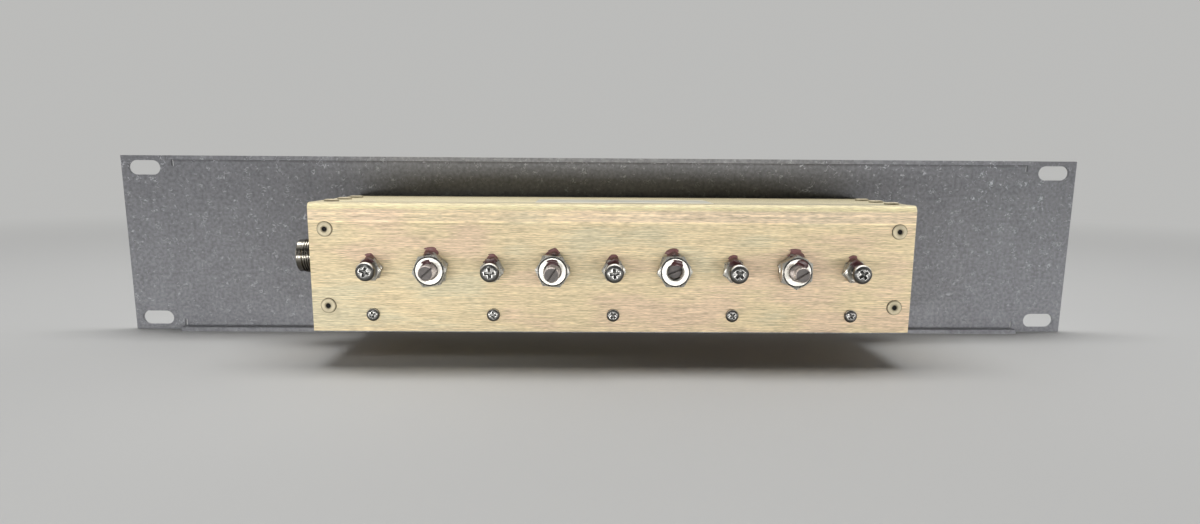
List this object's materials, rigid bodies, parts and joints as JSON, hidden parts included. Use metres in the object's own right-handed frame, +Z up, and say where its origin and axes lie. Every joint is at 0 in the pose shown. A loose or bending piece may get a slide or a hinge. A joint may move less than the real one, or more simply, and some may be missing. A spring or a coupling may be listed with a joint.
{
  "type": "preselector filter",
  "caption": "Cavity preselector filter: a brushed, chromate-coated box on a grey rack panel, with a row of locked tuning and coupling screws and a coaxial jack on each end",
  "frame": {"origin": "centre of the slotted mounting holes, on the rear face of the rack panel", "axes": "+X along the rack panel, to the right when the adjusters are seen; -Y out of the panel's rear face, along the adjusters; +Z up"},
  "size_m": [0.4826, 0.1072, 0.0882],
  "materials": {
    "panel_paint": "grey hammertone paint",
    "chromate_sheet": "brushed, yellow chromate conversion coat",
    "rivet_metal": "satin",
    "plated_steel": "bright zinc plate",
    "dark_steel": "dulled zinc plate",
    "plated_brass": "satin nickel plate",
    "silver_brass": "satin silver plate",
    "contact_metal": "gold plate",
    "tap_copper": "tinned copper wire",
    "insulator": "matt fluoroplastic"
  },
  "bodies": {
    "root": {"rack_panel": "panel_paint", "housing_shell": "chromate_sheet", "left_end_plate": "chromate_sheet", "right_end_plate": "chromate_sheet", "bottom_cover": "chromate_sheet", "wall_rivets": "rivet_metal", "top_rivets": "rivet_metal", "flush_rivets": "rivet_metal", "cover_screws": "dark_steel", "cover_end_screws": "dark_steel", "panel_screws": "plated_steel", "panel_nuts": "plated_steel", "resonator_1": "silver_brass", "resonator_2": "silver_brass", "resonator_3": "silver_brass", "resonator_4": "silver_brass", "resonator_5": "silver_brass", "resonator_screws": "plated_steel", "tuning_screw_1": "dark_steel", "tuning_screw_2": "dark_steel", "tuning_screw_3": "dark_steel", "tuning_screw_4": "dark_steel", "tuning_screw_5": "dark_steel", "tuning_bushings": "plated_brass", "tuning_bushing_nuts": "plated_brass", "tuning_lock_nuts": "plated_brass", "coupling_screw_1": "dark_steel", "coupling_screw_2": "dark_steel", "coupling_screw_3": "dark_steel", "coupling_screw_4": "dark_steel", "coupling_bushings": "plated_brass", "coupling_bushing_nuts": "plated_brass", "coupling_lock_nuts": "plated_brass", "input_jack": "plated_brass", "input_insulator": "insulator", "input_contact": "contact_metal", "input_jack_screws": "plated_steel", "input_tap": "tap_copper", "output_jack": "plated_brass", "output_insulator": "insulator", "output_contact": "contact_metal", "output_jack_screws": "plated_steel", "output_tap": "tap_copper"}
  },
  "joints": []
}
